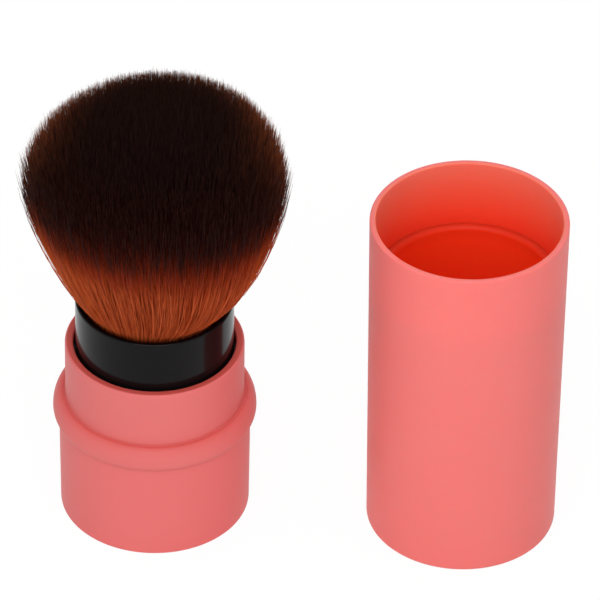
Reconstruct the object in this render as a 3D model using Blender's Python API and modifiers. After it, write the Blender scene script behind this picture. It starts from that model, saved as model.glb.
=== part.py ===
"""Capped retractable kabuki brush, standing beside its upturned cap.

The brush core (slider, ferrule and bristle knot) slides in a tube made of a handle shell and a
flanged collar sleeve. Pushing its bottom plate raises it, and two rubber rings hold it by friction.
The cap stands mouth up on the same surface. Units are metres, +Z is up, and the origin lies on the
surface below the middle of the whole set.
"""

import math

import bmesh
import bpy
from mathutils import Vector

# The two axes stand this far apart along X.
axis_spacing = 0.0662

# General fits between pieces, as gaps on one side.
press_gap = 0.0003
slide_gap = 0.0003
rubber_gap = 0.00015

# Handle shell: the plain cylinder below the collar, slightly wider at its top. The other radii of the
# handle follow from this one, inwards and outwards.
shell_top_radius = 0.0205
shell_taper = 0.0002
shell_wall = 0.0015
shell_height = 0.0236
shell_foot_round = 0.0006
shell_edge_round = 0.0002
shell_foot_radius = shell_top_radius - shell_taper
shell_bore_radius = shell_top_radius - shell_wall

# Collar sleeve: neck, bulged ring and the guide tube that goes down inside the shell.
guide_wall = 0.0008
guide_radius = shell_bore_radius - press_gap
guide_bore_radius = guide_radius - guide_wall
ring_height = 0.0056
ring_overhang = 0.0013
ring_lower_height = 0.0018
ring_radius = shell_top_radius + ring_overhang
neck_wall = 0.00125
neck_height = 0.0135
neck_rim_round = 0.0005
neck_root_round = 0.0004
neck_radius = guide_bore_radius + neck_wall
ring_shelf = 0.00065
ring_shelf_radius = neck_radius + ring_shelf
lip_height = 0.0018
lip_reach = 0.0006
lip_slope_height = 0.0006
lip_radius = guide_bore_radius - lip_reach

# Base ring: stops the core from dropping out of the handle.
base_ring_height = 0.0022
base_ring_width = 0.0032
base_ring_round = 0.0004
base_ring_bore_radius = guide_radius - base_ring_width

# Slider: cup that carries the ferrule and the two rubber rings.
slider_radius = guide_bore_radius - slide_gap
slider_height = 0.0140
slider_floor = 0.0022
slider_edge_round = 0.0004
groove_inset = 0.0022
rubber_wire_radius = 0.00055

# Ferrule: glossy tube round the knot, with a narrower spigot in the slider.
ferrule_play = 0.0004
ferrule_above_neck = 0.0119
ferrule_wall = 0.0007
ferrule_rim_round = 0.0003
ferrule_shoulder = 0.0012
spigot_height = 0.0100
ferrule_radius = lip_radius - ferrule_play
ferrule_bore_radius = ferrule_radius - ferrule_wall
spigot_radius = ferrule_radius - ferrule_shoulder
spigot_bore_radius = spigot_radius - ferrule_wall

# Push plate: disc under the slider, which a finger pushes.
plate_inset = 0.0036
plate_height = 0.0012
plate_dish = 0.0004
plate_round = 0.0003
plate_radius = slider_radius - plate_inset

# Bristle knot.
root_plug_height = 0.0130
slice_height = 0.0020
outer_strands = 56
inner_strands = 250
inner_strands_share = 0.925
strand_root_radius = 0.00048
strand_belly_radius = 0.00082
strand_tip_radius = 0.00012
bundle_inset = 0.0010
head_radius = 0.0285
head_widest_above_rim = 0.0325
dome_height = 0.0149
flare_start_above_rim = 0.0020
strand_belly_share = 0.62
belly_bulge_share = 0.50

# Cap shell and its inner liner. The neck goes into the cap's mouth and stops on the liner's rim.
cap_height = 0.0790
cap_clearance = 0.00055
cap_wall = 0.0013
cap_taper = 0.0007
cap_floor = 0.0016
cap_foot_round = 0.0006
cap_rim_round = 0.00045
cap_mouth_radius = neck_radius + cap_clearance + cap_wall
cap_foot_radius = cap_mouth_radius - cap_taper
liner_mouth_depth = 0.0158
liner_overlap = 0.00115
liner_floor = 0.0012
liner_rim_round = 0.0004
liner_bore_radius = neck_radius - liner_overlap

# Facets of the round pieces, and of each rounded corner.
round_sides = 36
rubber_sides = 24
corner_steps = 2
bulge_steps = 4
rubber_wire_sides = 6

# Levels along the brush's axis, from the surface up.
ring_bottom = shell_height
ring_top = ring_bottom + ring_height
neck_top = ring_top + neck_height
rim_level = neck_top + ferrule_above_neck
lip_bottom = neck_top - lip_height
slider_top = lip_bottom - lip_slope_height - slide_gap
slider_bottom = slider_top - slider_height
shoulder_level = slider_top + press_gap
core_travel = slider_bottom - base_ring_height - slide_gap

# Rubber rings and the grooves that hold them.
rubber_centre_radius = guide_bore_radius - rubber_gap - rubber_wire_radius
groove_floor_radius = rubber_centre_radius - rubber_wire_radius - rubber_gap
groove_height = 2 * (rubber_wire_radius + rubber_gap)

# Places of the two axes, which put the whole set's box about the origin.
set_half_width = (head_radius + axis_spacing + cap_mouth_radius) / 2
brush_x = head_radius - set_half_width
cap_x = set_half_width - cap_mouth_radius


def clear_scene():
    """Empties the scene and the collections of the startup file."""
    for thing in list(bpy.data.objects):
        bpy.data.objects.remove(thing)
    for group in list(bpy.data.collections):
        bpy.data.collections.remove(group)


def new_collection(name):
    group = bpy.data.collections.new(name)
    bpy.context.scene.collection.children.link(group)
    return group


def finish(name, colour, roughness, metallic=0.0):
    """A Principled material of one colour."""
    made = bpy.data.materials.new(name)
    made.use_nodes = True
    shader = made.node_tree.nodes["Principled BSDF"]
    shader.inputs["Base Color"].default_value = (*colour, 1.0)
    shader.inputs["Roughness"].default_value = roughness
    shader.inputs["Metallic"].default_value = metallic
    return made


def axis_empty(name, place, parent=None):
    empty = bpy.data.objects.new(name, None)
    empty.location = place
    empty.parent = parent
    brush_set.objects.link(empty)
    return empty


def arc(centre_r, centre_z, radius_r, radius_z, start, end, steps):
    """Profile points on an elliptic arc, with angles in degrees, 0 pointing outward and 90 up."""
    points = []
    for i in range(steps + 1):
        angle = math.radians(start + (end - start) * i / steps)
        points.append((centre_r + radius_r * math.cos(angle), centre_z + radius_z * math.sin(angle)))
    return points


def corner(r, z, size, quadrant):
    """A rounded convex corner at (r, z). The quadrant says which way the corner points."""
    toward_r, toward_z, start = {
        "out_up": (-1, -1, 90),
        "out_down": (-1, 1, 0),
        "in_down": (1, 1, -90),
        "in_up": (1, -1, -180),
    }[quadrant]
    return arc(r + toward_r * size, z + toward_z * size, size, size, start, start - 90, corner_steps)


def turned(name, profile, material, parent, sides=round_sides):
    """A solid of revolution about its own Z axis. The profile runs down the outside and up the inside,
    and it closes on itself unless both its ends lie on the axis."""
    mesh = bpy.data.meshes.new(name)
    count = len(profile)
    edges = [(i, i + 1) for i in range(count - 1)]
    if profile[0][0] > 0:
        edges.append((count - 1, 0))
    mesh.from_pydata([(r, 0, z) for r, z in profile], edges, [])
    mesh.materials.append(material)
    made = bpy.data.objects.new(name, mesh)
    brush_set.objects.link(made)
    made.parent = parent
    screw = made.modifiers.new("Turn", "SCREW")
    screw.axis = "Z"
    screw.angle = math.tau
    screw.screw_offset = 0
    screw.steps = sides
    screw.render_steps = sides
    screw.use_smooth_shade = True
    screw.use_merge_vertices = True
    screw.merge_threshold = 0.00001
    return made


def handle_shell():
    """Outer cylinder of the handle, open at both ends."""
    profile = (
        corner(shell_top_radius, shell_height - press_gap, shell_edge_round, "out_up")
        + corner(shell_foot_radius, 0, shell_foot_round, "out_down")
        + corner(shell_bore_radius, 0, shell_edge_round, "in_down")
        + corner(shell_bore_radius, shell_height - press_gap, shell_edge_round, "in_up")
    )
    return turned("handle_shell", profile, coral, brush_axis)


def collar_sleeve():
    """Neck, bulged ring and guide tube in one. A lip inside the neck's mouth stops the slider."""
    widest = ring_bottom + ring_lower_height
    guide_bottom = base_ring_height + press_gap
    profile = corner(neck_radius, neck_top, neck_rim_round, "out_up")
    profile += [
        (neck_radius, ring_top + neck_root_round),
        (neck_radius + neck_root_round, ring_top),
    ]
    profile += arc(
        ring_shelf_radius,
        widest,
        ring_radius - ring_shelf_radius,
        ring_top - widest,
        90,
        0,
        bulge_steps,
    )
    profile += arc(
        shell_top_radius,
        widest,
        ring_radius - shell_top_radius,
        ring_lower_height,
        0,
        -90,
        bulge_steps,
    )[1:]
    profile += [
        (guide_radius, ring_bottom),
        (guide_radius, guide_bottom),
        (guide_bore_radius, guide_bottom),
        (guide_bore_radius, lip_bottom - lip_slope_height),
        (lip_radius, lip_bottom),
    ]
    profile += corner(lip_radius, neck_top, neck_rim_round, "in_up")
    return turned("collar_sleeve", profile, coral, brush_axis)


def base_ring():
    """Flat ring pressed into the foot of the shell, flush with it."""
    profile = (
        corner(guide_radius, base_ring_height, base_ring_round, "out_up")
        + [(guide_radius, 0), (base_ring_bore_radius + base_ring_round, 0)]
        + [(base_ring_bore_radius, base_ring_round)]
        + corner(base_ring_bore_radius, base_ring_height, base_ring_round, "in_up")
    )
    return turned("base_ring", profile, coral, brush_axis)


def groove_levels():
    """Middles of the slider's two grooves, one near each end."""
    inset = groove_inset + groove_height / 2
    return slider_bottom + inset, slider_top - inset


def slider_cup():
    """Cup with two grooves round it. Its mouth holds the ferrule's spigot, and the underside the plate."""
    bore = spigot_radius + press_gap
    recess = plate_radius + press_gap
    floor_top = slider_bottom + plate_height + press_gap + slider_floor
    profile = corner(slider_radius, slider_top, slider_edge_round, "out_up")
    for middle in reversed(groove_levels()):
        profile += [
            (slider_radius, middle + groove_height / 2),
            (groove_floor_radius, middle + groove_height / 2),
            (groove_floor_radius, middle - groove_height / 2),
            (slider_radius, middle - groove_height / 2),
        ]
    profile += corner(slider_radius, slider_bottom, slider_edge_round, "out_down")
    profile += [
        (recess, slider_bottom),
        (recess, slider_bottom + plate_height + press_gap),
        (0, slider_bottom + plate_height + press_gap),
    ]
    inner = [(0, floor_top), (bore, floor_top), (bore, slider_top)]
    # The profile starts and ends on the axis: inside of the cup first, then over the rim and down.
    return turned("slider_cup", inner + profile, black_plastic, core_axis)


def push_plate():
    """Dished disc flush with the slider's underside."""
    top = slider_bottom + plate_height
    profile = [(0, top), (plate_radius, top)]
    profile += corner(plate_radius, slider_bottom, plate_round, "out_down")
    profile += [(plate_radius / 2, slider_bottom + plate_dish * 3 / 4), (0, slider_bottom + plate_dish)]
    return turned("push_plate", profile, coral, core_axis)


def friction_rings():
    """A rubber ring in each groove, proud of the slider so that it drags on the bore."""
    wire = rubber_wire_radius
    for name, level in zip(("friction_ring_lower", "friction_ring_upper"), groove_levels()):
        section = arc(rubber_centre_radius, level, wire, wire, 0, -360, rubber_wire_sides)
        turned(name, section[:-1], rubber, core_axis, rubber_sides)


def ferrule():
    """Glossy tube whose shoulder sits on the slider's rim, with a spigot inside the cup."""
    spigot_bottom = shoulder_level - spigot_height
    step = shoulder_level + 2 * ferrule_wall
    profile = (
        corner(ferrule_radius, rim_level, ferrule_rim_round, "out_up")
        + corner(ferrule_radius, shoulder_level, ferrule_rim_round, "out_down")
        + [
            (spigot_radius, shoulder_level),
            (spigot_radius, spigot_bottom),
            (spigot_bore_radius, spigot_bottom),
            (spigot_bore_radius, step - ferrule_wall),
            (ferrule_bore_radius, step),
        ]
        + corner(ferrule_bore_radius, rim_level, ferrule_rim_round, "in_up")
    )
    return turned("ferrule", profile, black_gloss, core_axis)


def plug_top():
    return shoulder_level - spigot_height + root_plug_height


def root_plug():
    """Set resin that holds the bristle roots: a disc in the spigot under a wider head in the ferrule."""
    bottom = shoulder_level - spigot_height
    neck = spigot_bore_radius - press_gap
    head = ferrule_bore_radius - press_gap
    step = shoulder_level + 2 * ferrule_wall + press_gap
    profile = [
        (0, plug_top()),
        (head, plug_top()),
        (head, step),
        (neck, step - ferrule_wall),
        (neck, bottom),
        (0, bottom),
    ]
    return turned("root_plug", profile, resin, core_axis)


def head_tip(share, turn):
    """Tip of a strand: share is 0 on the axis and 1 at the widest, turn its angle about the axis."""
    radius = (head_radius - strand_tip_radius) * share
    height = head_widest_above_rim + dome_height * math.sqrt(1 - share**2)
    return Vector((radius * math.cos(turn), radius * math.sin(turn), rim_level + height))


def strand_route(share, turn, slice_bottom):
    """Root, ferrule rim, belly and tip of one strand. Roots and tips keep the same order, so that no
    two strands cross."""
    bundle = ferrule_bore_radius - bundle_inset
    root = Vector((bundle * share * math.cos(turn), bundle * share * math.sin(turn), slice_bottom))
    bend = root.copy()
    bend.z = rim_level + flare_start_above_rim
    tip = head_tip(share, turn)
    chord = bend.lerp(tip, strand_belly_share)
    # The belly stands out from the chord, as the outline of the head is rounder than a cone.
    flare = (head_radius - bundle) * share
    bulge = belly_bulge_share * flare * strand_belly_share * (1 - strand_belly_share)
    belly = chord + bulge * Vector((math.cos(turn), math.sin(turn), 0))
    return root, bend, belly, tip


def strand_spots():
    """Share of the radius and angle of each strand: an even outer ring, round a sunflower spiral."""
    golden = math.pi * (3 - math.sqrt(5))
    spots = [(1, i * math.tau / outer_strands) for i in range(outer_strands)]
    for i in range(inner_strands):
        spots.append((inner_strands_share * math.sqrt((i + 0.5) / inner_strands), i * golden))
    return spots


def bristles():
    """Strands grown from a slice of resin. Each is a tapered three-sided rod on one curve object, and a
    Boolean union fuses them all to the slice."""
    slice_bottom = plug_top() + press_gap
    section = bpy.data.curves.new("strand_section", "CURVE")
    section.dimensions = "2D"
    outline = section.splines.new("POLY")
    outline.points.add(2)
    outline.use_cyclic_u = True
    for i, point in enumerate(outline.points):
        angle = i * math.tau / 3
        point.co = (math.cos(angle), math.sin(angle), 0, 1)
    cross = bpy.data.objects.new("strand_section", section)
    helpers.objects.link(cross)
    cross.hide_render = True

    curve = bpy.data.curves.new("strands", "CURVE")
    curve.dimensions = "3D"
    curve.bevel_mode = "OBJECT"
    curve.bevel_object = cross
    curve.use_fill_caps = True
    widths = (strand_root_radius, strand_root_radius, strand_belly_radius, strand_tip_radius)
    for share, turn in strand_spots():
        spline = curve.splines.new("POLY")
        route = strand_route(share, turn, slice_bottom + slice_height / 2)
        spline.points.add(len(route) - 1)
        for point, place, width in zip(spline.points, route, widths):
            point.co = (*place, 1)
            point.radius = width
    rods = bpy.data.objects.new("strands", curve)
    helpers.objects.link(rods)
    bpy.context.view_layer.update()

    graph = bpy.context.evaluated_depsgraph_get()
    mesh = bpy.data.meshes.new_from_object(rods.evaluated_get(graph))
    bpy.data.objects.remove(rods)
    work = bmesh.new()
    work.from_mesh(mesh)
    bmesh.ops.remove_doubles(work, verts=work.verts, dist=strand_tip_radius / 10)
    bmesh.ops.recalc_face_normals(work, faces=work.faces)
    work.to_mesh(mesh)
    work.free()
    fused = bpy.data.objects.new("strand_rods", mesh)
    helpers.objects.link(fused)
    fused.hide_render = True
    fused.display_type = "WIRE"

    radius = ferrule_bore_radius - press_gap
    top = slice_bottom + slice_height
    profile = [(0, top), (radius, top), (radius, slice_bottom), (0, slice_bottom)]
    made = turned("bristles", profile, hair, core_axis)
    fused.parent = core_axis
    union = made.modifiers.new("Fuse strands", "BOOLEAN")
    union.operation = "UNION"
    union.solver = "EXACT"
    union.object = fused
    return made


def cap_bore(level):
    """Radius of the cap shell's bore at a height, which follows its tapered outside."""
    return cap_foot_radius + (cap_mouth_radius - cap_foot_radius) * level / cap_height - cap_wall


def cap_shell():
    """Tall cup, a little narrower at its closed foot."""
    profile = corner(cap_mouth_radius, cap_height, cap_rim_round, "out_up")
    profile += corner(cap_foot_radius, 0, cap_foot_round, "out_down")
    profile += [(0, 0)]
    inner = [(0, cap_floor), (cap_bore(cap_floor), cap_floor)]
    inner += corner(cap_bore(cap_height), cap_height, cap_rim_round, "in_up")
    return turned("cap_shell", inner + profile, coral, cap_axis)


def cap_liner():
    """Inner cup whose rim makes the ledge below the cap's mouth. The neck stops on it."""
    top = cap_height - liner_mouth_depth
    bottom = cap_floor + press_gap
    profile = corner(cap_bore(top) - press_gap, top, liner_rim_round, "out_up")
    profile += [(cap_bore(bottom) - press_gap, bottom), (0, bottom)]
    inner = [(0, bottom + liner_floor), (liner_bore_radius, bottom + liner_floor)]
    inner += corner(liner_bore_radius, top, liner_rim_round, "in_up")
    return turned("cap_liner", inner + profile, coral, cap_axis)


clear_scene()
brush_set = new_collection("kabuki_brush_set")
helpers = new_collection("helpers")

coral = finish("coral_plastic", (0.84, 0.20, 0.18), 0.45)
black_plastic = finish("black_plastic", (0.02, 0.02, 0.02), 0.40)
black_gloss = finish("black_gloss", (0.012, 0.011, 0.012), 0.12)
rubber = finish("black_rubber", (0.03, 0.03, 0.03), 0.80)
resin = finish("amber_resin", (0.45, 0.30, 0.12), 0.30)
hair = finish("brown_bristle", (0.12, 0.035, 0.015), 0.55)

brush_axis = axis_empty("brush_axis", (brush_x, 0, 0))
core_axis = axis_empty("core_axis", (0, 0, 0), brush_axis)
cap_axis = axis_empty("cap_axis", (cap_x, 0, 0))

handle_shell()
collar_sleeve()
base_ring()
slider_cup()
push_plate()
friction_rings()
ferrule()
root_plug()
bristles()
cap_shell()
cap_liner()
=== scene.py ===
# %% [markdown]
# # A capped kabuki brush in coral plastic
#
# The real thing is a short powder brush that stands on its handle, beside its tall cap. This lesson
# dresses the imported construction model: it takes its sizes from it, and adds what the eye wants, which
# is smooth moulded plastic with soft edges, a glossy black ferrule and a dense head of fine hair.
#
# Everything is in metres, in the construction model's own frame, so nothing has to be fitted later.

# %% Load the construction model as a fixed frame
import math

import bpy
import numpy as np
from mathutils import Matrix, Vector


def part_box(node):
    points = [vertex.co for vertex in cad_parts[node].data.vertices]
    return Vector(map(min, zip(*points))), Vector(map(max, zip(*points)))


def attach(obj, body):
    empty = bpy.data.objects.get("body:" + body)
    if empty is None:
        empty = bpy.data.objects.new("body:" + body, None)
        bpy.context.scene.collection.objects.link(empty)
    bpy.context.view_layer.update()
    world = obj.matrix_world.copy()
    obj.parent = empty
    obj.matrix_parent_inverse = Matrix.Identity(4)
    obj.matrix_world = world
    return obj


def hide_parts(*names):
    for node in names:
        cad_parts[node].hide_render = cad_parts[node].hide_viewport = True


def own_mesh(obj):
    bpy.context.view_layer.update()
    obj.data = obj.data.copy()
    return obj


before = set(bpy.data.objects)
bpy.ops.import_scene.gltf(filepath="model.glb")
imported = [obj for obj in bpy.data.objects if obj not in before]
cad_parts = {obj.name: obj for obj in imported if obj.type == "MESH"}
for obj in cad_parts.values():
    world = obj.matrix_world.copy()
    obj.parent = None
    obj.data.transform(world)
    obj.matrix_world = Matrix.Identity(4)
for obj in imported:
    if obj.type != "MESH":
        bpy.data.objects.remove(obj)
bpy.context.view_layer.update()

# %% [markdown]
# ## Measures from the frame
#
# A turned piece needs only an axis, some radii and some heights. They could be typed in again, but then
# a change of the construction model would leave the looks behind. Each is read from a node's box.

# %% Axes, radii and levels of the pieces
MM = 0.001


def radius_of(node):
    """Outer radius of a turned node: half the width of its box."""
    low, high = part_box(node)
    return (high[0] - low[0]) / 2


def middle_of(node):
    """Where the axis of a turned node stands along X."""
    low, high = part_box(node)
    return (high[0] + low[0]) / 2


def foot_of(node):
    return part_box(node)[0][2]


def top_of(node):
    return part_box(node)[1][2]


brush_x = middle_of("handle_shell")
cap_x = middle_of("cap_shell")
rim_level = top_of("ferrule")
neck_top = top_of("collar_sleeve")
head_radius = radius_of("bristles")
print("brush axis %.1f mm, cap axis %.1f mm" % (brush_x / MM, cap_x / MM))
print("ferrule rim at %.1f mm, head %.1f mm wide" % (rim_level / MM, 2 * head_radius / MM))

# %% [markdown]
# ## The camera first
#
# The reference view looks down on the set through a long lens, so that upright edges hardly converge.
# The camera comes first because every later render is judged through it. It stands at a distance, an
# azimuth and a height angle from a point on the table, and rolls a little.

# %% Camera
view_azimuth = math.radians(3.38)
view_height = math.radians(38.48)
view_roll = math.radians(0.83)
view_distance = 1604 * MM
focal_length, sensor_width = 429.7, 36
look_at = Vector((brush_x + 26.74 * MM, 69.60 * MM, 0))


def add_object(name, data):
    """Makes an object of a camera, mesh or lamp, and links it to the scene."""
    made = bpy.data.objects.new(name, data)
    bpy.context.scene.collection.objects.link(made)
    return made


def add_camera():
    """Places the camera at look_at + distance * direction, where the direction is turned by the azimuth
    from -Y and raised by the height angle, and rolls it about its own axis."""
    direction = Vector((
        math.sin(view_azimuth) * math.cos(view_height),
        -math.cos(view_azimuth) * math.cos(view_height),
        math.sin(view_height),
    ))
    lens = bpy.data.cameras.new("product_camera")
    lens.lens = focal_length
    lens.sensor_width = sensor_width
    lens.clip_start = view_distance / 100
    lens.clip_end = view_distance * 100
    camera = add_object("product_camera", lens)
    facing = (-direction).to_track_quat("-Z", "Y").to_matrix().to_4x4()
    place = Matrix.Translation(look_at + direction * view_distance)
    camera.matrix_world = place @ facing @ Matrix.Rotation(view_roll, 4, "Z")
    bpy.context.scene.camera = camera
    return camera


camera = add_camera()
print("camera at", [round(value, 3) for value in camera.matrix_world.translation])

# %% [markdown]
# ## A small language for materials
#
# A finish is a network of nodes, and networks written link by link are hard to read. So one small class
# wraps a node's output, and the usual signs on it add Math nodes: `1 - mask * 0.3` then means what it
# says. A second class holds the material, and one method of it makes any other node.

# %% Signals
class Signal:
    """An output socket. Arithmetic on it adds a Math node and gives that node's output."""

    def __init__(self, finish, socket):
        self.finish = finish
        self.socket = socket

    def maths(self, operation, first, second):
        return self.finish.node("Math", {"operation": operation}, {0: first, 1: second})

    def __add__(self, other):
        return self.maths("ADD", self, other)

    def __sub__(self, other):
        return self.maths("SUBTRACT", self, other)

    def __rsub__(self, other):
        return self.maths("SUBTRACT", other, self)

    def __mul__(self, other):
        return self.maths("MULTIPLY", self, other)

    def __lt__(self, other):
        return self.maths("LESS_THAN", self, other)

    def beside(self, output):
        """Another output of the same node."""
        return Signal(self.finish, self.socket.node.outputs[output])

    __radd__ = __add__
    __rmul__ = __mul__


print("signs on a signal: + - * <")

# %% Finishes
class Finish:
    """A material with one Principled shader, and helpers that feed it."""

    def __init__(self, name, **sockets):
        self.material = bpy.data.materials.new(name)
        self.material.use_nodes = True
        self.tree = self.material.node_tree
        self.shader = self.tree.nodes["Principled BSDF"]
        self.give(**sockets)

    def give(self, **sockets):
        """Feeds sockets of the Principled shader, whose names here have _ for a space."""
        for name, value in sockets.items():
            self.feed(self.shader.inputs[name.replace("_", " ")], value)

    def feed(self, socket, value):
        """Links a signal to a socket, or writes a plain number or colour on it."""
        if isinstance(value, Signal):
            self.tree.links.new(value.socket, socket)
        elif isinstance(value, (tuple, list)) and len(value) == 3 and socket.type == "RGBA":
            socket.default_value = (*value, 1)
        else:
            socket.default_value = value

    def node(self, kind, settings=None, sockets=None, output=0):
        """Adds a node of any type. Its settings come first, then its sockets by name or number."""
        made = self.tree.nodes.new("ShaderNode" + kind)
        for name, value in (settings or {}).items():
            if name == "stops":
                self.set_stops(made.color_ramp, value)
            else:
                setattr(made, name, value)
        for name, value in (sockets or {}).items():
            self.feed(made.inputs[name], value)
        return Signal(self, made.outputs[output])

    def set_stops(self, ramp, stops):
        """Gives a ramp its (position, colour) stops."""
        while len(ramp.elements) < len(stops):
            ramp.elements.new(1)
        for element, (position, colour) in zip(ramp.elements, stops):
            element.position = position
            element.color = (*colour, 1)

    def place(self):
        """Object coordinates, in metres in the frame of the whole set."""
        return self.node("TexCoord").beside("Object")

    def axes(self, vector):
        """The X, Y and Z of a vector."""
        parts = self.node("SeparateXYZ", sockets={0: vector})
        return [parts.beside(axis) for axis in "XYZ"]

    def noise(self, vector, scale, detail=2, roughness=0.5):
        """Soft random values round 0.5, with about scale blobs to each unit of the vector."""
        return self.node(
            "TexNoise",
            sockets={"Vector": vector, "Scale": scale, "Detail": detail, "Roughness": roughness},
        )

    def fade(self, value, start, end, first=0.0, last=1.0):
        """Goes smoothly from first to last while the value goes from start to end."""
        sockets = {0: value, 1: start, 2: end, 3: first, 4: last}
        return self.node("MapRange", {"interpolation_type": "SMOOTHSTEP"}, sockets)

    def mixed(self, share, first, second, blend="MIX"):
        """A colour: first where share is 0, and second, or its blend with first, where it is 1."""
        settings = {"data_type": "RGBA", "blend_type": blend}
        return self.node("Mix", settings, {0: share, 6: first, 7: second}, output=2)

    def bump(self, height, depth):
        """A normal from a height signal. Depth is the height in metres of a signal of 1."""
        return self.node("Bump", sockets={"Height": height, "Distance": depth})

    def cover(self, share, other):
        """Shows another shader in place of the Principled one where share is 1."""
        own = Signal(self, self.shader.outputs[0])
        both = self.node("MixShader", sockets={0: share, 1: own, 2: other})
        self.feed(self.tree.nodes["Material Output"].inputs["Surface"], both)


def srgb(red, green, blue):
    """Linear colour of a screen colour in 0 to 255: ((c + 0.055) / 1.055) ** 2.4 above a small foot."""
    share = np.array((red, green, blue)) / 255
    lit = np.where(share > 0.04045, ((share + 0.055) / 1.055) ** 2.4, share / 12.92)
    return tuple(float(value) for value in lit)


print("coral as a linear colour:", [round(value, 3) for value in srgb(238, 122, 118)])

# %% [markdown]
# ## Coral plastic
#
# The handle and the cap are moulded in one coral-pink plastic with a satin face. Real moulded plastic is
# never quite even: the tool leaves a very fine grain, handling leaves slightly shinier patches, and the
# pigment drifts a little. A little light also goes into it, which makes thin rims glow redder. So the
# colour, the roughness and the bump each follow a noise of their own, all at a strength that only shows
# close by. The subsurface share is small on the handle, and larger on the thin-walled cap.

# %% Coral finish
coral_roughness = 0.48
roughness_spread = 0.12
drift_scale, patch_scale, grain_scale = 45, 160, 5200
grain_depth = 0.004 * MM


def coral_finish(name, colour, drift_colour, soak=0.25, soak_depth=1.2 * MM):
    """Satin plastic. The colour drifts to drift_colour with a slow noise, and a fine grain bumps it. Soak
    is the share of the light that goes in, to about soak_depth. Scales count blobs to the metre."""
    finish = Finish(
        name,
        Subsurface_Weight=soak,
        Subsurface_Radius=(1.0, 0.25, 0.15),
        Subsurface_Scale=soak_depth,
        Specular_IOR_Level=0.14,
    )
    place = finish.place()
    drift = finish.noise(place, drift_scale, detail=3)
    patches = finish.noise(place, patch_scale, detail=4, roughness=0.6)
    grain = finish.noise(place, grain_scale, detail=1)
    finish.give(
        Base_Color=finish.mixed(drift, colour, drift_colour),
        Roughness=coral_roughness - roughness_spread / 2 + patches * roughness_spread,
        Normal=finish.bump(grain + patches * 0.5, grain_depth),
    )
    return finish


coral = coral_finish("satin_coral_plastic", srgb(232, 119, 117), srgb(228, 115, 113)).material
print("coral:", coral.name)

# %% [markdown]
# ## Coral with painted bounce light and shade inside a hollow
#
# The cap is a thin-walled cup, so light passes into it from all round, and it looks a shade lighter than
# the handle; its coral is also painted a shade lighter than the handle's, as painted light, and the
# collar's coral a shade darker, as painted shade. Inside it, light goes from wall to wall, and every
# meeting takes out more of its green and blue. The renderer follows a few of these meetings. The rest are
# painted into the colour as bounce light and shade: from the mouth's inner edge down to the liner the
# plastic turns from coral to a deep orange-red. The neck of the handle is painted the same way in its
# narrow gap and over its rim, as painted shade. The mask for it is the distance from the axis, and the
# depth below the rim. The liner also glows a very little: a faint red emission, a painted glow for the
# light that comes through both its walls. Round the neck's root the handle's ring is painted darker, a
# painted shade where light hardly reaches that nook, and a distance from the axis and a level mask it in
# the same way.

# %% Coral with painted bounce light and shade inside
# painted glow: the colour of a faint red emission for the light that comes through the liner's walls
painted_glow_colour = srgb(255, 24, 0)
nook_edge = 0.4 * MM


def hollow_finish(
    name, outer, axis_x, inner_radius, mouth_level, depth, stops, painted_glow=0.0, nook=None, **soaking
):
    """Coral outside, from the colours in outer. Within inner_radius of the axis, the colour follows the
    stops from the mouth's level down to the given depth below it, as painted bounce light and shade. The
    glow argument is the strength of a red emission, a painted glow for the light that comes through the
    wall behind. A nook (radius, reach, level, colour) paints shade on what lies below the level and just
    outside the radius, and fades out over the reach. The mask of the inside is x ** 2 + y ** 2 < radius
    ** 2, with x and y measured from the axis."""
    finish = coral_finish(name, *outer, **soaking)
    x, y, z = finish.axes(finish.place())
    across = x - axis_x
    from_axis = across * across + y * y
    inside = from_axis < inner_radius**2
    fall = (mouth_level - z) * (1 / depth)
    deep = finish.node("ValToRGB", {"stops": stops}, {0: fall})
    outside = Signal(finish, finish.shader.inputs["Base Color"].links[0].from_socket)
    # painted shade on the ring round the neck's root
    if nook:
        radius, reach, level, shade = nook
        close = finish.fade(from_axis, radius**2, (radius + reach) ** 2, 1.0, 0.0)
        below = finish.fade(z, level, level + nook_edge, 1.0, 0.0)
        outside = finish.mixed(close * below, outside, shade)
    colour = finish.mixed(inside, outside, deep)
    finish.give(Base_Color=colour, Emission_Color=painted_glow_colour, Emission_Strength=painted_glow)
    return finish.material


# %% Cap and liner finishes
cap_wall = 1.3 * MM
cap_taper = 0.7 * MM
cap_radius, cap_top = radius_of("cap_shell"), top_of("cap_shell")
liner_top = top_of("cap_liner")
liner_fade = 12 * MM
mouth_inner = cap_radius - 0.75 * cap_wall
thin_wall = {"soak": 0.6, "soak_depth": 2.5 * MM}
# painted bounce light and shade: inside the cap the coral deepens to orange-red towards the liner
mouth_painted_bounce_stops = [
    (0.0, srgb(253, 128, 108)),
    (0.35, srgb(252, 108, 82)),
    (0.8, srgb(248, 82, 54)),
    (1.0, srgb(240, 68, 40)),
]
# painted bounce light and shade on the liner, from its ledge down
liner_painted_bounce_stops = [
    (0.0, srgb(206, 55, 31)),
    (0.08, srgb(236, 61, 25)),
    (0.3, srgb(252, 68, 28)),
    (1.0, srgb(255, 70, 30)),
]
# the cap's coral is painted a shade lighter than the handle's: painted light
coral_cap = hollow_finish(
    "coral_cap_plastic_painted_light", (srgb(249, 127, 123), srgb(245, 123, 119)),
    cap_x, mouth_inner, cap_top, cap_top - liner_top, mouth_painted_bounce_stops, **thin_wall,
)
# the liner: painted bounce light and shade, and a faint red emission as a painted glow
coral_liner_painted_light = hollow_finish(
    "coral_liner_painted_bounce_light", (srgb(236, 70, 42), srgb(232, 66, 38)),
    cap_x, cap_radius, liner_top, liner_fade, liner_painted_bounce_stops, painted_glow=0.03, **thin_wall,
)
print("cap:", coral_cap.name, "and", coral_liner_painted_light.name)

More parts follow.
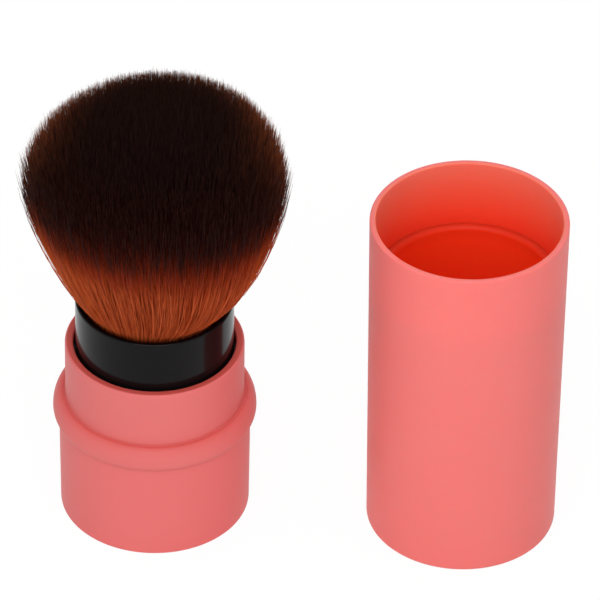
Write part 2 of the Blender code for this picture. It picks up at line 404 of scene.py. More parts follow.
# %% [markdown]
# ## Black ferrule, slider, rubber and resin
#
# The ferrule is lacquered black and nearly a mirror, with the finest ripples and faint smears that dull
# it. The slider behind it is plain satin black, the rings are matt rubber, and the resin that holds
# the roots is amber. Only the ferrule shows as the set stands, but the others are finished too, because
# the set may be taken apart. One function makes all three blacks, which differ only in their numbers.

# %% Dark finishes and resin
smear_scale, cloud_scale = 300, 350


def dark_finish(name, colour, roughness, spread, fineness, depth, **sockets):
    """Black finish whose roughness goes from roughness to roughness + spread with a noise, under a grain
    of the given fineness, in grains to the metre."""
    finish = Finish(name, Base_Color=colour, **sockets)
    place = finish.place()
    smears = finish.noise(place, smear_scale, detail=4, roughness=0.65)
    grain = finish.noise(place, fineness, detail=2)
    finish.give(Roughness=roughness + smears * spread, Normal=finish.bump(grain, depth))
    return finish.material


black_gloss = dark_finish(
    "black_lacquer", srgb(14, 12, 13), roughness=0.10, spread=0.10, fineness=900, depth=0.001 * MM,
    Specular_IOR_Level=0.11,
)
black_plastic = dark_finish(
    "black_slider_plastic", srgb(30, 30, 31), roughness=0.40, spread=0.10, fineness=4000, depth=0.004 * MM
)
rubber = dark_finish(
    "matt_black_rubber", srgb(34, 34, 35), roughness=0.75, spread=0.12, fineness=6000, depth=0.01 * MM
)


def resin_finish():
    """Amber resin with soft clouds."""
    finish = Finish("cast_amber_resin", Roughness=0.25)
    clouds = finish.noise(finish.place(), cloud_scale, detail=3)
    finish.give(Base_Color=finish.mixed(clouds, srgb(150, 108, 52), srgb(176, 134, 74)))
    return finish.material


resin = resin_finish()
print("materials:", black_gloss.name, black_plastic.name, rubber.name, resin.name)

# %% [markdown]
# ## Turned pieces
#
# Every hard piece is turned: a profile swept round an axis. Blender's Screw modifier could do it, but a
# surface that is worked out on a grid gives full control of where the rows of points lie. A smooth shaded
# wall needs a narrow row beside each rounded corner, or the corner's shading would leak over the whole
# wall. So each corner of a profile becomes an arc, and each straight run gets a point near both its ends.

# %% Rounded profiles
corner_steps = 6
guard_distance = 0.25 * MM
fine_edge, soft_edge, broad_edge = 0.1 * MM, 0.2 * MM, 0.4 * MM


def fillet(before, at, after, size):
    """Arc of radius size in the corner at a point: its centre lies on the bisector, and its ends where
    the arc touches both sides, size / tan(half angle) from the corner."""
    to_before = (before - at) / np.linalg.norm(before - at)
    to_after = (after - at) / np.linalg.norm(after - at)
    half = math.acos(np.clip(to_before @ to_after, -1, 1)) / 2
    bisector = to_before + to_after
    centre = at + bisector / np.linalg.norm(bisector) * size / math.sin(half)
    start = at + to_before * size / math.tan(half) - centre
    end = at + to_after * size / math.tan(half) - centre
    sweep = math.pi - 2 * half
    share = np.linspace(0, 1, corner_steps + 1)[:, None]
    return centre + (start * np.sin((1 - share) * sweep) + end * np.sin(share * sweep)) / math.sin(sweep)


def rounded(corners, closed):
    """Profile through (radius, level, rounding) corners: an arc in place of each corner that has a
    rounding, and a guard point near both ends of each straight run."""
    places = np.array([corner[:2] for corner in corners], float)
    count = len(corners)
    runs = []
    for i, corner in enumerate(corners):
        inside = closed or 0 < i < count - 1
        if corner[2] > 0 and inside:
            runs.append(fillet(places[i - 1], places[i], places[(i + 1) % count], corner[2]))
        else:
            runs.append(places[i:i + 1])
    profile = []
    for i, run in enumerate(runs):
        profile.append(run)
        if not closed and i == count - 1:
            break
        start, end = run[-1], runs[(i + 1) % count][0]
        length = np.linalg.norm(end - start)
        guard = min(guard_distance, length / 3) / max(length, 1e-9)
        profile.append(np.array([start + (end - start) * guard, end + (start - end) * guard]))
    return np.concatenate(profile)


print("each rounding has", corner_steps + 1, "points")

# %% Surfaces of revolution
sharp_angle = math.radians(50)
outer_sides, core_sides = 192, 128


def turned_grid(profile, closed, sides, axis_x):
    """Points (axis + r cos a, r sin a, z) for each profile point (r, z) and angle a, and the quads and
    end fans between them. The profile runs down the outside, so the faces point outwards."""
    angle = np.arange(sides) * math.tau / sides
    pole_first = not closed and profile[0, 0] == 0
    pole_last = not closed and profile[-1, 0] == 0
    rings = profile[int(pole_first):len(profile) - int(pole_last)]
    radius, level = rings[:, :1], rings[:, 1:]
    points = np.stack(
        [axis_x + radius * np.cos(angle), radius * np.sin(angle), level + 0 * angle], axis=-1
    ).reshape(-1, 3)
    row = np.arange(len(rings) - (not closed))[:, None] * sides
    following = (row + sides) % (len(rings) * sides)
    here = np.arange(sides)[None, :]
    beside = (here + 1) % sides
    quads = np.stack([row + here, following + here, following + beside, row + beside], axis=-1)
    faces = [tuple(face) for face in quads.reshape(-1, 4).tolist()]
    around = list(range(sides))
    if pole_first:
        points = np.vstack([points, [axis_x, 0, profile[0, 1]]])
        faces += [(len(points) - 1, a, (a + 1) % sides) for a in around]
    if pole_last:
        last = (len(rings) - 1) * sides
        points = np.vstack([points, [axis_x, 0, profile[-1, 1]]])
        faces += [(last + a, len(points) - 1, last + (a + 1) % sides) for a in around]
    return points, faces


def add_piece(name, points, faces, material, body):
    """Makes a mesh object at the origin and says what carries it and which finish it has."""
    mesh = bpy.data.meshes.new(name)
    mesh.from_pydata(np.asarray(points).tolist(), [], faces)
    mesh.materials.append(material)
    mesh.shade_smooth()
    made = add_object(name, mesh)
    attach(made, body)
    return made


def turn(name, corners, axis_x, material, body, stands_for, closed=True, sides=outer_sides):
    """Turns rounded corners into a piece that stands for the node of its kind."""
    points, faces = turned_grid(rounded(corners, closed), closed, sides, axis_x)
    made = add_piece(name, points, faces, material, body)
    made.data.set_sharp_from_angle(angle=sharp_angle)
    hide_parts(stands_for)
    print(name, len(points), "points")


print("turned with", outer_sides, "sides outside and", core_sides, "in the core")

# %% [markdown]
# ## Handle shell and base ring
#
# The lower cylinder widens very slightly upwards, as moulded cups do so that they leave the mould. Its
# top meets the ring above in a fine crease, so the gap of the construction model closes to a hairline.
# Bevelled cylinders would do as well, but profiles take radii and levels straight from the frame.

# %% Handle shell and base ring
hairline = 0.04 * MM
press_gap = 0.3 * MM
shell_radius = radius_of("handle_shell")
shell_taper = 0.2 * MM
shell_wall = 1.5 * MM
shell_bore = shell_radius - shell_wall
crease_level = top_of("handle_shell") + press_gap
turn(
    "handle_shell_moulded",
    [
        (shell_radius, crease_level - hairline, 0.15 * MM),
        (shell_radius - shell_taper, 0, 0.45 * MM),
        (shell_bore, 0, soft_edge),
        (shell_bore, crease_level - hairline, soft_edge),
    ],
    brush_x, coral, "base", stands_for="handle_shell",
)

guide_radius = shell_bore - hairline
foot_ring_width = 3.2 * MM
foot_ring_height = top_of("base_ring")
foot_ring_bore = radius_of("base_ring") - foot_ring_width
turn(
    "base_ring_moulded",
    [
        (guide_radius, foot_ring_height, soft_edge),
        (guide_radius, 0, 0.15 * MM),
        (foot_ring_bore, 0, broad_edge),
        (foot_ring_bore, foot_ring_height, broad_edge),
    ],
    brush_x, coral, "base", stands_for="base_ring",
)

# %% [markdown]
# ## Collar sleeve
#
# The neck, the bulged ring and a guide tube are one moulding. The ring's outline is made of two quarter
# ellipses, a tall one above its widest level and a flat one below. Points set by eye would leave flats
# in the gloss, so an arc formula draws them, and the rounded corners of the rest join on. A shallow
# groove at the neck's root gives the crease its shade.

# %% Collar sleeve
def elliptic_arc(centre_r, centre_z, wide, high, start, end, steps):
    """Points centre + (wide cos a, high sin a) for angles a from start to end, in degrees."""
    angle = np.radians(np.linspace(start, end, steps + 1))
    return np.column_stack([centre_r + wide * np.cos(angle), centre_z + high * np.sin(angle)])


guide_wall = 0.8 * MM
neck_wall = 1.25 * MM
guide_bore = shell_bore - press_gap - guide_wall
neck_radius = guide_bore + neck_wall
lip_reach, lip_height, lip_slope = 0.6 * MM, 1.8 * MM, 0.6 * MM
lip_radius = guide_bore - lip_reach
ring_radius = radius_of("collar_sleeve")
ring_height, ring_lower_height = 5.6 * MM, 1.8 * MM
shelf_width = 0.65 * MM
shelf_radius = neck_radius + shelf_width
crease_depth = 0.2 * MM
upper_steps, lower_steps = 20, 14
widest_level = crease_level + ring_lower_height
shelf_level = crease_level + ring_height
guide_foot = foot_ring_height + hairline


def collar_profile():
    """Down the outside: neck, upper and lower quarter ellipse of the ring, then the tube and the bore."""
    neck = rounded(
        [
            (lip_radius, neck_top - lip_height, 0),
            (lip_radius, neck_top, 0.45 * MM),
            (neck_radius, neck_top, 0.55 * MM),
            (neck_radius, shelf_level - crease_depth, 0.35 * MM),
            (shelf_radius, shelf_level, 0),
        ],
        closed=False,
    )
    upper_width, lower_width = ring_radius - shelf_radius, ring_radius - shell_radius
    upper_height = shelf_level - widest_level
    upper = elliptic_arc(shelf_radius, widest_level, upper_width, upper_height, 90, 0, upper_steps)
    lower = elliptic_arc(shell_radius, widest_level, lower_width, ring_lower_height, 0, -90, lower_steps)
    tube = rounded(
        [
            (guide_radius, crease_level, 0),
            (guide_radius, guide_foot, soft_edge),
            (guide_bore, guide_foot, soft_edge),
            (guide_bore, neck_top - lip_height - lip_slope, soft_edge),
            (lip_radius, neck_top - lip_height, 0),
        ],
        closed=False,
    )
    return np.concatenate([neck, upper[1:], lower[1:], tube[:-1]])


# painted shade: the neck's inside and rim turn a deeper red, and the ring round the neck's root is darker
neck_inner = neck_radius - 0.4 * MM
neck_fade = 3 * MM
nook_reach, nook_level = 3.2 * MM, shelf_level + 0.1 * MM
neck_painted_shade_stops = [(0.0, srgb(208, 86, 78)), (0.2, srgb(204, 72, 62)), (1.0, srgb(204, 56, 44))]
# the collar's coral is painted a shade darker than the handle's: painted shade
coral_collar = hollow_finish(
    "coral_collar_plastic_painted_shade", (srgb(227, 119, 117), srgb(223, 115, 113)),
    brush_x, neck_inner, neck_top, neck_fade, neck_painted_shade_stops,
    nook=(neck_radius, nook_reach, nook_level, srgb(215, 98, 94)),
)
points, faces = turned_grid(collar_profile(), True, outer_sides, brush_x)
collar = add_piece("collar_sleeve_moulded", points, faces, coral_collar, "base")
collar.data.set_sharp_from_angle(angle=sharp_angle)
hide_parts("collar_sleeve")
print("collar", len(points), "points, ring %.1f mm wide" % (2 * ring_radius / MM))

# %% [markdown]
# ## The core: slider, plate, rings, ferrule and resin plug
#
# The ferrule stands in a black slider cup that runs in the collar. Two rubber rings in the slider's
# grooves give it its grip, and a coral plate closes its underside, where a finger pushes. All of them
# ride on the core, so they sink into the handle together. They are turned like the rest, with fewer
# sides, because they are small or hidden.

# %% Slider, push plate and friction rings
slider_radius = radius_of("slider_cup")
slider_foot, slider_top = foot_of("slider_cup"), top_of("slider_cup")
ferrule_radius = radius_of("ferrule")
ferrule_wall, ferrule_shoulder = 0.7 * MM, 1.2 * MM
ferrule_bore = ferrule_radius - ferrule_wall
spigot_radius = ferrule_radius - ferrule_shoulder
spigot_bore = spigot_radius - ferrule_wall
spigot_foot = foot_of("ferrule")
plate_radius, plate_top = radius_of("push_plate"), top_of("push_plate")
ring_nodes = ("friction_ring_upper", "friction_ring_lower")
ring_wire = (top_of(ring_nodes[1]) - foot_of(ring_nodes[1])) / math.sqrt(3)
wire_steps = 20
fit = 0.1 * MM
groove_half = ring_wire + 0.15 * MM
groove_floor = radius_of(ring_nodes[1]) - 2 * ring_wire - fit
groove_levels = [(top_of(node) + foot_of(node)) / 2 for node in ring_nodes]


def slider_corners():
    """Out of the cup, over its rim, down past the grooves and in under the floor."""
    cup, floor = spigot_radius + fit, spigot_foot - fit
    recess, recess_top = plate_radius + fit, plate_top + fit
    corners = [
        (0, floor, 0),
        (cup, floor, soft_edge),
        (cup, slider_top, soft_edge),
        (slider_radius, slider_top, broad_edge),
    ]
    for level in groove_levels:
        upper, lower = level + groove_half, level - groove_half
        corners += [
            (slider_radius, upper, fine_edge),
            (groove_floor, upper, fine_edge),
            (groove_floor, lower, fine_edge),
            (slider_radius, lower, fine_edge),
        ]
    corners += [
        (slider_radius, slider_foot, broad_edge),
        (recess, slider_foot, soft_edge),
        (recess, recess_top, fine_edge),
        (0, recess_top, 0),
    ]
    return corners


turn(
    "slider_cup_moulded", slider_corners(), brush_x, black_plastic, "core",
    closed=False, sides=core_sides, stands_for="slider_cup",
)
dish_slope_end, dish_slope_depth, dish_depth = 0.62 * plate_radius, 0.25 * MM, 0.45 * MM
turn(
    "push_plate_moulded",
    [
        (0, plate_top, 0),
        (plate_radius, plate_top, soft_edge),
        (plate_radius, slider_foot, 0.3 * MM),
        (dish_slope_end, slider_foot + dish_slope_depth, 3 * MM),
        (0, slider_foot + dish_depth, 0),
    ],
    brush_x, coral, "core", closed=False, sides=core_sides, stands_for="push_plate",
)
for node, level in zip(ring_nodes, groove_levels):
    middle = radius_of(node) - ring_wire
    circle = elliptic_arc(middle, level, ring_wire, ring_wire, 90, -270, wire_steps)[:-1]
    points, faces = turned_grid(circle, True, core_sides, brush_x)
    made = add_piece(node + "_moulded", points, faces, rubber, "core")
    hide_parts(node)
print("slider %.1f mm wide with grooves at" % (2 * slider_radius / MM), groove_levels)

# %% Ferrule and resin plug
spigot_height = 10 * MM
shoulder_level = spigot_foot + spigot_height
inner_shoulder, inner_step = shoulder_level + ferrule_wall, shoulder_level + 2 * ferrule_wall
plug_radius, stem_radius = ferrule_bore - fit, spigot_bore - fit
plug_level = top_of("root_plug")
turn(
    "ferrule_lacquered",
    [
        (ferrule_radius, rim_level, 0.3 * MM),
        (ferrule_radius, shoulder_level, 0.3 * MM),
        (spigot_radius, shoulder_level, soft_edge),
        (spigot_radius, spigot_foot, soft_edge),
        (spigot_bore, spigot_foot, soft_edge),
        (spigot_bore, inner_shoulder, 0.3 * MM),
        (ferrule_bore, inner_step, 0.3 * MM),
        (ferrule_bore, rim_level, 0.25 * MM),
    ],
    brush_x, black_gloss, "core", stands_for="ferrule",
)
turn(
    "root_plug_cast",
    [
        (0, plug_level, 0),
        (plug_radius, plug_level, soft_edge),
        (plug_radius, inner_step + fit, fine_edge),
        (stem_radius, inner_shoulder + fit, fine_edge),
        (stem_radius, spigot_foot, soft_edge),
        (0, spigot_foot, 0),
    ],
    brush_x, resin, "core", closed=False, sides=core_sides, stands_for="root_plug",
)

# %% [markdown]
# ## The cap
#
# The cap is a tall cup, a little narrower at its closed foot. A second cup inside it ends below the mouth,
# and its rim is the ledge that the neck stops on. The ledge's inner corner is well rounded, and its outer
# one stays almost sharp where it meets the shell, or a dark line would show there.

# %% Cap shell and liner
cap_floor, liner_floor = 1.6 * MM, 1.2 * MM
ledge_overlap = 1.15 * MM
liner_bore = neck_radius - ledge_overlap
liner_foot = foot_of("cap_liner")


def cap_bore(level):
    """Inner radius of the shell: its outer radius, which grows evenly with the level, less its wall."""
    return cap_radius - cap_taper * (1 - level / cap_top) - cap_wall


turn(
    "cap_shell_moulded",
    [
        (0, cap_floor, 0),
        (cap_bore(cap_floor), cap_floor, 0.5 * MM),
        (cap_bore(cap_top), cap_top, 0.35 * MM),
        (cap_radius, cap_top, broad_edge),
        (cap_radius - cap_taper, 0, 0.5 * MM),
        (0, 0, 0),
    ],
    cap_x, coral_cap, "cap", closed=False, stands_for="cap_shell",
)
turn(
    "cap_liner_moulded",
    [
        (0, liner_foot + liner_floor, 0),
        (liner_bore, liner_foot + liner_floor, 1.2 * MM),
        (liner_bore, liner_top, 1.0 * MM),
        (cap_bore(liner_top) - hairline, liner_top, 0.05 * MM),
        (cap_bore(0) - hairline, liner_foot, 0.5 * MM),
        (0, liner_foot, 0),
    ],
    cap_x, coral_liner_painted_light, "cap", closed=False, stands_for="cap_liner",
)

# %% [markdown]
# ## Hair colour
#
# The fibres are two-tone: orange-brown from the root up, and dyed nearly black over the last part. An
# image could hold that, but noises and a ramp stay sharp at any size. All strands share one UV map of 48
# strips. A strip is as wide as a strand, and along it runs the way from the tip to the root. The strips
# are in order, from the middle of the head to its rim, so that the rim can be treated apart.
#
# Masks come first. Noises that are stretched along the strips give each its own tone and blur the dye
# line, and others say whether a point is dyed, near the rim, towards the back, or among the roots.

# %% Masks on the fibres
hair_map = "OFBake"
strip_count = 48
fleck_count = 6
tone_scale, smudge_scale = 1.7, 0.7
tone_reach, smudge_reach = 0.02, 0.05
undyed_span, rim_span = (0.08, 0.24), (0.56, 0.86)
front_to_back = (-14 * MM, 4 * MM)
root_span = (rim_level - 1.0 * MM, rim_level + 0.2 * MM)


def fibre_masks(finish):
    """Signals by name. The UV map has the strips across, and along goes from 0 at the tip to 1. The dye
    coordinate is along, moved to and fro by both noises."""
    across, along = finish.axes(finish.node("UVMap", {"uv_map": hair_map}))[:2]
    y, z = finish.axes(finish.place())[1:]
    column = finish.node("CombineXYZ", sockets={0: across * strip_count, 1: along * fleck_count})
    tone = finish.noise(column, tone_scale, detail=1)
    smudge = finish.noise(column, smudge_scale, detail=2)
    dye = along + (smudge - 0.5) * smudge_reach + (tone - 0.5) * tone_reach
    return {
        "along": along,
        "tone": tone,
        "dye": dye,
        "undyed": finish.fade(dye, *undyed_span),
        "rim": finish.fade(across, *rim_span),
        # back carries painted shade on the front's ends and painted backlight at the back; root carries
        # painted shade
        "back": finish.fade(y, *front_to_back, 0.1, 1.0),
        "root": finish.fade(z, *root_span, 1.0, 0.0),
    }


print("masks on UV map", hair_map, "with", strip_count, "strips")

# %% [markdown]
# The colour starts from the ramp of the dye. Round the rim of the head the dyed ends are painted by how
# the light falls: at the front, in the shade of the head, with a dark red-brown painted shade, and at the
# sides and back, where the daylight comes through, with a paler painted backlight. All tips are also a
# touch paler. Inside the ferrule's mouth the roots are painted dark, as painted shade.

# %% Fibre colour
dye_stops = [
    (0.00, srgb(39, 30, 30)),
    (0.04, srgb(29, 18, 18)),
    (0.085, srgb(40, 11, 9)),
    (0.13, srgb(88, 27, 12)),
    (0.21, srgb(158, 56, 28)),
    (0.37, srgb(214, 107, 57)),
    (1.00, srgb(210, 102, 52)),
]
# painted shade on the front's ends and on the roots; pale tips, with painted backlight at the rim's back
front_ends_painted_shade, pale_tips_and_painted_backlight, shaded_roots = srgb(39, 13, 11), srgb(104, 54, 38), srgb(58, 18, 8)
end_span, end_share = (0.03, 0.09), 0.8
tip_span, backlight_share, least_pale = (0.0, 0.04), 0.75, 0.1
dark_tint, lightening = srgb(174, 156, 146), 0.25
dyed_contrast, undyed_contrast = 0.3, 1.2


def fibre_colour(finish, mask):
    """The ramp's colour, mixed with a painted shade on the front's dyed ends, a paler colour on the tips
    that is painted backlight at the rim's back, and a painted shade on the roots. By its own tone each
    strand then lies between that colour * dark_tint and that colour * (1 + lightening), with less
    contrast in the dye."""
    fibre = finish.node("ValToRGB", {"stops": dye_stops}, {0: mask["dye"]})
    end = finish.fade(mask["along"], *end_span, 1.0, 0.0)
    tip = finish.fade(mask["along"], *tip_span, 1.0, 0.0)
    # painted shade on the dyed ends at the front of the rim
    fibre = finish.mixed(mask["rim"] * (1 - mask["back"]) * end * end_share, fibre, front_ends_painted_shade)
    # tips a touch paler, and painted backlight at the rim's back
    pale = tip * (mask["rim"] * mask["back"] * backlight_share + least_pale)
    fibre = finish.mixed(pale, fibre, pale_tips_and_painted_backlight)
    # painted shade on the roots in the ferrule's mouth
    fibre = finish.mixed(mask["root"], fibre, shaded_roots)
    dark = finish.mixed(1.0, fibre, dark_tint, "MULTIPLY")
    light = finish.mixed(lightening, fibre, fibre, "ADD")
    own_tone = 0.5 + (mask["tone"] - 0.5) * (dyed_contrast + mask["undyed"] * undyed_contrast)
    return finish.mixed(own_tone, dark, light)


print("dye ramp with", len(dye_stops), "stops")

# %% [markdown]
# Light also passes through the fibres, which makes the outline of the head glow brown against a bright
# room. Transmission would slow the render, and subsurface light needs a solid. A translucent shader, mixed
# in by a share, gives the same look on a ribbon: a fair share where the fibre is undyed, little under
# dense dye, a touch more at the rim's tips at the back, as painted backlight, and hardly any among the
# roots, which keeps them in painted shade.

# %% Hair finish
tip_glow, dye_glow, fibre_glow, least_glow = 0.24, 0.025, 0.32, 0.01
shine_span = (0.0, 0.07)


def hair_finish():
    """Two-tone fibre. The share of light through it is least_glow, plus tip_glow falling to dye_glow on
    the dyed part at the rim and the back, plus fibre_glow on the undyed part above the roots."""
    finish = Finish("two_tone_fibre", Roughness=0.5, Specular_IOR_Level=0.06)
    mask = fibre_masks(finish)
    finish.give(Base_Color=fibre_colour(finish, mask))
    shine = finish.fade(mask["along"], *shine_span, tip_glow, dye_glow)
    # more light through the tips at the rim's back than at the front: painted backlight
    dyed = mask["rim"] * mask["back"] * (1 - mask["undyed"]) * shine
    undyed = mask["undyed"] * (1 - mask["root"]) * fibre_glow
    glow = finish.node("BsdfTranslucent", sockets={"Color": srgb(236, 124, 66)})
    finish.cover(least_glow + dyed + undyed, glow)
    return finish.material


hair = hair_finish()
print("hair finish:", hair.name)

# %% [markdown]
# ## The head of hair
#
# A real head holds many thousands of fibres. Blender has hair curves and particle systems, but a model
# that is exported needs meshes, so each strand is a thin flat ribbon that tapers to its tip. All of them
# are worked out at once as arrays: where the root stands in the bundle, where the tip ends on the dome,
# and how the strand goes between them. Roots and tips keep the same order, as fibres that were bundled
# straight and then splayed by the ferrule do, and small random shifts let neighbours cross.

# %% Strand routes
bundle_radius = ferrule_bore - 1.0 * MM
root_level = plug_level - 0.5 * MM
widest_radius = head_radius - 0.4 * MM
widest_height = 29.9 * MM
dome_height = 19.4 * MM
dome_power = 2.2
dome_tilt = 0.07
flare_bulge = 0.62
rim_kick = 0.5
lean = 0.4 * MM
sag = 5.5 * MM
tip_scatter, turn_scatter, turn_softening = 0.016, 0.075, 0.25
length_scatter, short_reach = 0.32 * MM, 0.8 * MM
wave_reach, waves_in = 0.2 * MM, 7
wave_turn, waves_round = 0.012, 9
phase_spread = 6
way_steps = np.array([0.0, 0.08, 0.2, 0.36, 0.54, 0.72, 0.88, 1.0])
chance = np.random.default_rng(11)


def strand_routes(share, turn_angle, stray):
    """Points of every strand, as an array (strand, step, 3).

    The root stands at share * bundle_radius, and the strand goes straight up to the ferrule's rim. The
    tip ends on a dome: radius = widest_radius * share, and height above the rim = widest_height +
    dome_height * (1 - share ** power) ** (1 / power) + dome_tilt * (how far the tip stands along X) * (1 -
    share ** 4). On its way w from 0 to 1 between rim and tip, the radius grows from one to the other
    along w + bulge * w * (1 - w) + kick * w * (1 - w) ** 4. The whole head leans aside by lean * (height /
    top) ** 4 and sags by sag * w * (1 - w) ** 2, and strays stand out by stray * w.

    By chance, a tip's share, its turn and its height shift by the scatters, and some strands are cut up
    to short_reach shorter. Each waves by wave_reach * w * sin(waves_in * w + phase) in its radius, and
    in the same way, with wave_turn and waves_round, in its turn."""
    count = len(share)
    wander = chance.normal(0, 1, (count, 5))
    tip_share = share + tip_scatter * wander[:, 0]
    tip_turn = turn_angle + turn_scatter * wander[:, 1] / (turn_softening + share)
    length_shift = length_scatter * wander[:, 2] - short_reach * chance.random(count) ** 3
    cut = np.clip(1 - share**dome_power, 0, 1) ** (1 / dome_power)
    tilt = dome_tilt * widest_radius * share * (1 - share**4) * np.cos(turn_angle)
    tip_height = widest_height + dome_height * cut + tilt + length_shift
    way = way_steps[None, :]
    spread = way + flare_bulge * way * (1 - way) + rim_kick * way * (1 - way) ** 4
    rim_radius = bundle_radius * share[:, None]
    radius = rim_radius + (widest_radius * tip_share[:, None] - rim_radius) * spread
    radius = radius + stray[:, None] * way
    radius = np.abs(radius + wave_reach * np.sin(way * waves_in + phase_spread * wander[:, 3:4]) * way)
    angle = turn_angle[:, None] + (tip_turn - turn_angle)[:, None] * way
    angle = angle + wave_turn * np.sin(way * waves_round + phase_spread * wander[:, 4:5]) * way
    height = rim_level + tip_height[:, None] * way
    height_share = (height - rim_level) / (widest_height + dome_height)
    aside = brush_x + lean * height_share**4 + sag * way * (1 - way) ** 2
    upper = np.stack([aside + radius * np.cos(angle), radius * np.sin(angle), height], axis=-1)
    root = upper[:, :1].copy()
    root[:, :, 2] = root_level
    return np.concatenate([root, upper], axis=1)


# %% [markdown]
# A ribbon along a route needs a side at every step. The strands all run mostly upwards, so one level side
# vector for each strand will do. Each is turned at random about the strand, by up to a quarter turn from
# the rim's direction, so that neighbours catch the light differently and every face points outwards.

# %% Strand ribbons
taper_start, tip_narrowing = 0.7, 0.8


def strand_ribbons(routes, width, twist):
    """Points (strand, step, 2, 3) of both edges: route -+ width / 2 * taper * (cos twist * along the rim
    + sin twist * outward). The taper is 1 up to taper_start, then 1 - tip_narrowing * t ** 2."""
    step = np.linspace(0, 1, routes.shape[1])[None, :, None, None]
    taper = 1 - tip_narrowing * np.clip((step - taper_start) / (1 - taper_start), 0, 1) ** 2
    out = routes[:, -1, :2] - np.array([brush_x, 0])
    out = out / np.maximum(np.linalg.norm(out, axis=1, keepdims=True), 1e-9)
    outward = np.column_stack([out, np.zeros(len(out))])
    sideways = np.column_stack([-out[:, 1], out[:, 0], np.zeros(len(out))])
    side = np.cos(twist)[:, None] * sideways + np.sin(twist)[:, None] * outward
    edges = np.array([-0.5, 0.5])[None, None, :, None]
    return routes[:, :, None, :] + edges * taper * width[:, None, None, None] * side[:, None, None, :]


def ribbon_faces(strands, steps):
    """Quads between the neighbouring steps of each strand: left, right, right above, left above."""
    left = 2 * (np.arange(strands)[:, None] * steps + np.arange(steps - 1)[None, :])
    return np.stack([left, left + 1, left + 3, left + 2], axis=-1).reshape(-1, 4)


print("a strand of", len(way_steps) + 1, "steps has", len(ribbon_faces(1, len(way_steps) + 1)), "faces")

# %% Strand maps and tufts
dyed_reach = 40 * MM
inner_reach_share = 1.6
side_reach_share, side_lift = 0.35, 0.15
strip_margin, map_margin = 0.1, 0.002
strip_order, strip_blur = 0.75, 0.249


def strand_map(routes, share, turn_angle, strips):
    """UV of every quad's corners: across is inside the strand's strip, and along is the distance from the
    tip divided by dyed_reach * (1 + inner_reach_share * (1 - share)) * (1 + side_reach_share * side). The
    side is share * (cos turn + side_lift), cut to 0 at least: the dye goes deeper in the middle, where the
    strands are longer, and the dark part reaches further down on the side of +X."""
    lengths = np.linalg.norm(np.diff(routes, axis=1), axis=2)
    from_tip = np.cumsum(lengths[:, ::-1], axis=1)[:, ::-1]
    from_tip = np.concatenate([from_tip, np.zeros((len(routes), 1))], axis=1)
    side = np.clip(np.cos(turn_angle) + side_lift, 0, 1) * share
    reach = dyed_reach * (1 + inner_reach_share * (1 - share)) * (1 + side_reach_share * side)
    along = np.clip(from_tip / reach[:, None], map_margin, 1 - map_margin)
    low, high = along[:, :-1], along[:, 1:]
    left = np.broadcast_to((strips[:, None] + strip_margin) / strip_count, low.shape)
    right = left + (1 - 2 * strip_margin) / strip_count
    return np.stack([left, low, right, low, right, high, left, high], axis=-1).reshape(-1, 2)


def add_tuft(name, share, turn_angle, stray, width):
    """One tuft of strands as a single mesh, with its strip map. A strand's strip is strip_order * share
    of the way across the map, plus strip_blur by chance."""
    routes = strand_routes(share, turn_angle, stray)
    twist = (chance.random(len(share)) - 0.5) * math.pi
    points = strand_ribbons(routes, width, twist).reshape(-1, 3)
    quads = ribbon_faces(len(share), routes.shape[1])
    strips = np.floor(strip_count * (strip_order * share + strip_blur * chance.random(len(share))))
    corners = strand_map(routes, share, turn_angle, strips)
    mesh = bpy.data.meshes.new(name)
    mesh.vertices.add(len(points))
    mesh.vertices.foreach_set("co", points.astype(np.float32).ravel())
    mesh.loops.add(quads.size)
    mesh.loops.foreach_set("vertex_index", quads.astype(np.int32).ravel())
    mesh.polygons.add(len(quads))
    mesh.polygons.foreach_set("loop_start", np.arange(0, quads.size, 4, dtype=np.int32))
    layer = mesh.uv_layers.new(name=hair_map)
    layer.data.foreach_set("uv", corners.astype(np.float32).ravel())
    mesh.update(calc_edges=True)
    mesh.validate()
    mesh.materials.append(hair)
    mesh.shade_smooth()
    made = add_object(name, mesh)
    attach(made, "core")
    return made


print("dye reaches %.0f mm down the rim's strands" % (dyed_reach / MM * undyed_span[1]))

# %% [markdown]
# When the core sinks into the handle, the neck gathers the head. The head is made of rings of tufts, each
# a mesh of its own, and the innermost hair, which fits inside the neck as it is, is one tuft. A few
# strands of the outermost ring stray from the outline, as on any brush that has been handled.

# %% Rings of tufts
strand_total = 36000
ring_edges = [0.0, 0.26, 0.50, 0.72, 0.88, 1.0]
ring_tufts = [1, 6, 10, 16, 24]
strand_width, width_spread = 0.14 * MM, 0.5
stray_share, stray_zone, stray_reach = 0.03, 0.93, 1.8 * MM


def grow_head():
    """Scatters strands evenly over the bundle, ring by ring and tuft by tuft."""
    tufts = []
    for ring, count in enumerate(ring_tufts):
        inner, outer = ring_edges[ring], ring_edges[ring + 1]
        strands = round(strand_total * (outer**2 - inner**2) / count)
        for tuft in range(count):
            share = np.sqrt(inner**2 + (outer**2 - inner**2) * chance.random(strands))
            middle = (tuft + 0.5) * math.tau / count
            turn_angle = middle + (chance.random(strands) - 0.5) * math.tau / count
            strays = (chance.random(strands) < stray_share) & (share > stray_zone)
            stray = np.where(strays, stray_reach * chance.random(strands), 0)
            width = strand_width * (1 - width_spread / 2 + width_spread * chance.random(strands))
            name = "hair_ring_%d_tuft_%02d" % (ring, tuft)
            made = add_tuft(name, share, turn_angle, stray, width)
            tufts.append(made)
            if ring:
                root = bundle_radius * (inner + outer) / 2
                way = (math.cos(middle), math.sin(middle), 0)
                anchor = (brush_x + root * way[0], root * way[1], rim_level)
                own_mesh(made)
    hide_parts("bristles")
    return tufts


tufts = grow_head()
print(len(tufts), "tufts,", sum(len(tuft.data.vertices) for tuft in tufts), "points")

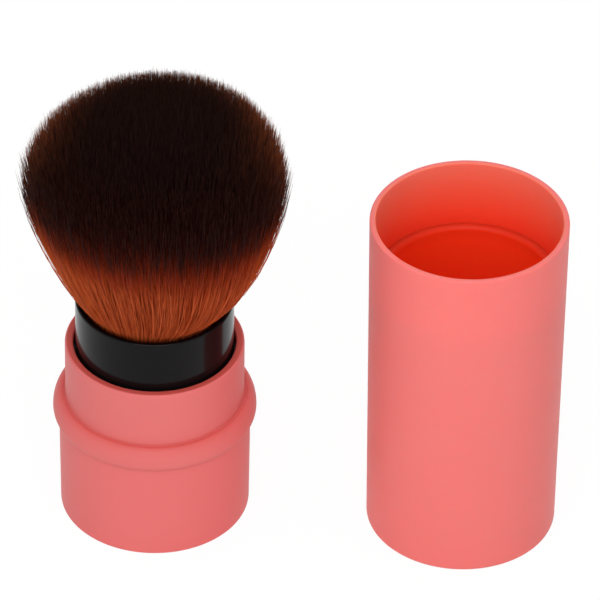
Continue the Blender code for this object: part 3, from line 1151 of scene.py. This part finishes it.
# %% [markdown]
# ## Table, daylight and backdrop
#
# The reference is a cut-out on pure white, lit evenly from all round with a soft key from the front. The
# floor and the world show plain white to the camera and to mirrors, and light the set at a level where a
# colour renders about as it is written. The floor keeps a trace of its own shading, for a soft shadow.

# %% Floor and world
floor_half = 3.0
shadow_share = 0.12
floor_glow = 1.04
world_light = 0.50


def white_to_the_eye(nodes, links):
    """1 on camera, mirror and see-through rays, and 0 on the rays that light things."""
    path = nodes.new("ShaderNodeLightPath")
    total = path.outputs["Is Camera Ray"]
    for ray in ("Is Glossy Ray", "Is Transmission Ray"):
        either = nodes.new("ShaderNodeMath")
        either.operation = "MAXIMUM"
        links.new(total, either.inputs[0])
        links.new(path.outputs[ray], either.inputs[1])
        total = either.outputs[0]
    return total


def add_floor():
    """A white sheet, mostly emission to the eye, and plain white paper to every other ray."""
    finish = Finish("white_paper", Base_Color=(0.9, 0.9, 0.9), Roughness=0.9, Specular_IOR_Level=0.1)
    eye = Signal(finish, white_to_the_eye(finish.tree.nodes, finish.tree.links))
    glow = finish.node("Emission", sockets={"Color": (1.0, 1.0, 1.0), "Strength": floor_glow})
    finish.cover(eye * (1 - shadow_share), glow)
    mesh = bpy.data.meshes.new("floor")
    corners = [(x * floor_half, y * floor_half, 0) for x, y in ((-1, -1), (1, -1), (1, 1), (-1, 1))]
    mesh.from_pydata(corners, [], [(0, 1, 2, 3)])
    mesh.materials.append(finish.material)
    add_object("floor", mesh)


def add_world(strength):
    """Daylight of one strength all round, and plain white to the eye."""
    world = bpy.data.worlds.new("white_studio")
    world.use_nodes = True
    nodes, links = world.node_tree.nodes, world.node_tree.links
    nodes.clear()
    out = nodes.new("ShaderNodeOutputWorld")
    shown, lit = nodes.new("ShaderNodeBackground"), nodes.new("ShaderNodeBackground")
    shown.inputs["Strength"].default_value = 1.0
    lit.inputs["Strength"].default_value = strength
    for background in (shown, lit):
        background.inputs["Color"].default_value = (1, 1, 1, 1)
    both = nodes.new("ShaderNodeMixShader")
    links.new(white_to_the_eye(nodes, links), both.inputs[0])
    links.new(lit.outputs[0], both.inputs[1])
    links.new(shown.outputs[0], both.inputs[2])
    links.new(both.outputs[0], out.inputs["Surface"])
    bpy.context.scene.world = world


add_floor()
add_world(world_light)
print("white floor and world")

# %% Lamps
def add_lamp(name, place, target, size, power):
    """A square soft lamp that faces its target. Power is in watts."""
    light = bpy.data.lights.new(name, "AREA")
    light.shape = "SQUARE"
    light.size = size
    light.energy = power
    lamp = add_object(name, light)
    place, target = Vector(place), Vector(target)
    facing = (target - place).to_track_quat("-Z", "Y").to_matrix().to_4x4()
    lamp.matrix_world = Matrix.Translation(place) @ facing


lamp_aim = (0, 0, 0.04)
add_lamp("front_key", (0.0, -0.42, 0.44), lamp_aim, size=0.45, power=1.9)
add_lamp("top_fill", (0.0, 0.1, 1.1), lamp_aim, size=0.9, power=2.0)

bpy.context.scene.view_settings.view_transform = "Standard"
